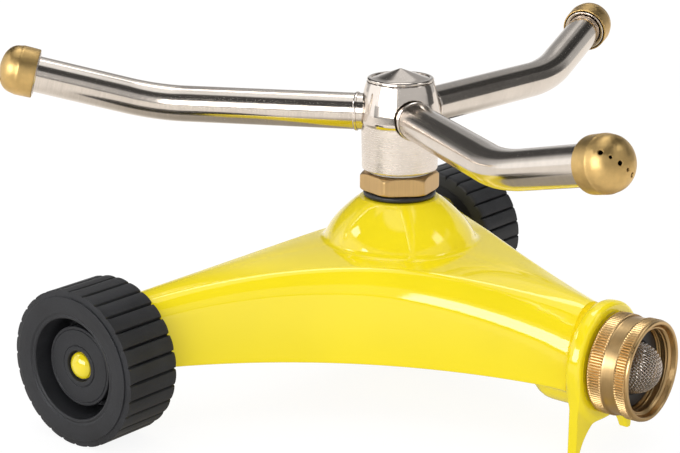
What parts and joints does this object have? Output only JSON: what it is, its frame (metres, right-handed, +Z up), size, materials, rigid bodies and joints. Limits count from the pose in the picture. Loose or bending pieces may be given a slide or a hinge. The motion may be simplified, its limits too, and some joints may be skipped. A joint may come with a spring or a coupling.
{
  "type": "rotary sprinkler",
  "caption": "Spinning lawn sprinkler with bent tube arms and domed nozzles on a wheeled, pointed cast base with a swivel hose coupling.",
  "frame": {"origin": "middle of the whole footprint at ground level", "axes": "+Z up, +X towards the hose inlet, wheel axles along Y"},
  "size_m": [0.2458, 0.2526, 0.1201],
  "materials": {
    "painted_yellow": "gloss",
    "brass": "satin",
    "nickel_plate": "polished",
    "stainless_steel": "satin",
    "black_plastic": "matte",
    "black_rubber": "matte",
    "steel_mesh": "satin",
    "white_acetal": "satin"
  },
  "bodies": {
    "base": {"base_casting": "painted_yellow", "inlet_tailpiece": "brass", "riser_spindle": "brass", "boss_washer": "black_rubber", "lower_thrust_washer": "white_acetal", "upper_thrust_washer": "white_acetal", "retaining_clip": "stainless_steel", "axle_pin_left": "stainless_steel", "axle_pin_right": "stainless_steel", "axle_washer_left": "stainless_steel", "axle_washer_right": "stainless_steel", "wheel_cap_left": "painted_yellow", "wheel_cap_right": "painted_yellow"},
    "rotor": {"rotor_hub": "nickel_plate", "rotary_seal": "black_rubber", "hub_cap": "nickel_plate", "arm_tube_1": "stainless_steel", "arm_collar_1": "nickel_plate", "nozzle_seal_1": "black_rubber", "arm_tube_2": "stainless_steel", "arm_collar_2": "nickel_plate", "nozzle_seal_2": "black_rubber", "arm_tube_3": "stainless_steel", "arm_collar_3": "nickel_plate", "nozzle_seal_3": "black_rubber"},
    "wheel_left": {"wheel_left": "black_plastic"},
    "wheel_right": {"wheel_right": "black_plastic"},
    "coupling": {"swivel_coupling": "brass", "hose_washer": "black_rubber", "filter_screen": "steel_mesh"},
    "nozzle_1": {"nozzle_cap_1": "brass", "nozzle_ferrule_1": "nickel_plate"},
    "nozzle_2": {"nozzle_cap_2": "brass", "nozzle_ferrule_2": "nickel_plate"},
    "nozzle_3": {"nozzle_cap_3": "brass", "nozzle_ferrule_3": "nickel_plate"}
  },
  "joints": [
    {"name": "rotor_spin", "type": "hinge", "parent": "base", "child": "rotor", "pos_m": [-0.00267, -0.01387, 0.0993], "axis": [0, 0, 1], "continuous": true},
    {"name": "wheel_left_spin", "type": "hinge", "parent": "base", "child": "wheel_left", "pos_m": [-0.05167, -0.11487, 0.0265], "axis": [0, 1, 0], "continuous": true},
    {"name": "wheel_right_spin", "type": "hinge", "parent": "base", "child": "wheel_right", "pos_m": [-0.05167, 0.08713, 0.0265], "axis": [0, 1, 0], "continuous": true},
    {"name": "coupling_spin", "type": "hinge", "parent": "base", "child": "coupling", "pos_m": [0.09233, -0.01387, 0.02835], "axis": [1, 0, 0], "continuous": true},
    {"name": "nozzle_1_turn", "type": "hinge", "parent": "rotor", "child": "nozzle_1", "pos_m": [-0.11052, -0.08184, 0.11002], "axis": [-0.7157, -0.6526, 0.2487], "range_deg": [-90, 90]},
    {"name": "nozzle_2_turn", "type": "hinge", "parent": "rotor", "child": "nozzle_2", "pos_m": [0.11012, -0.07328, 0.11002], "axis": [0.923, -0.2935, 0.2487], "range_deg": [-90, 90]},
    {"name": "nozzle_3_turn", "type": "hinge", "parent": "rotor", "child": "nozzle_3", "pos_m": [-0.00761, 0.11352, 0.11002], "axis": [-0.2073, 0.9461, 0.2487], "range_deg": [-90, 90]}
  ]
}
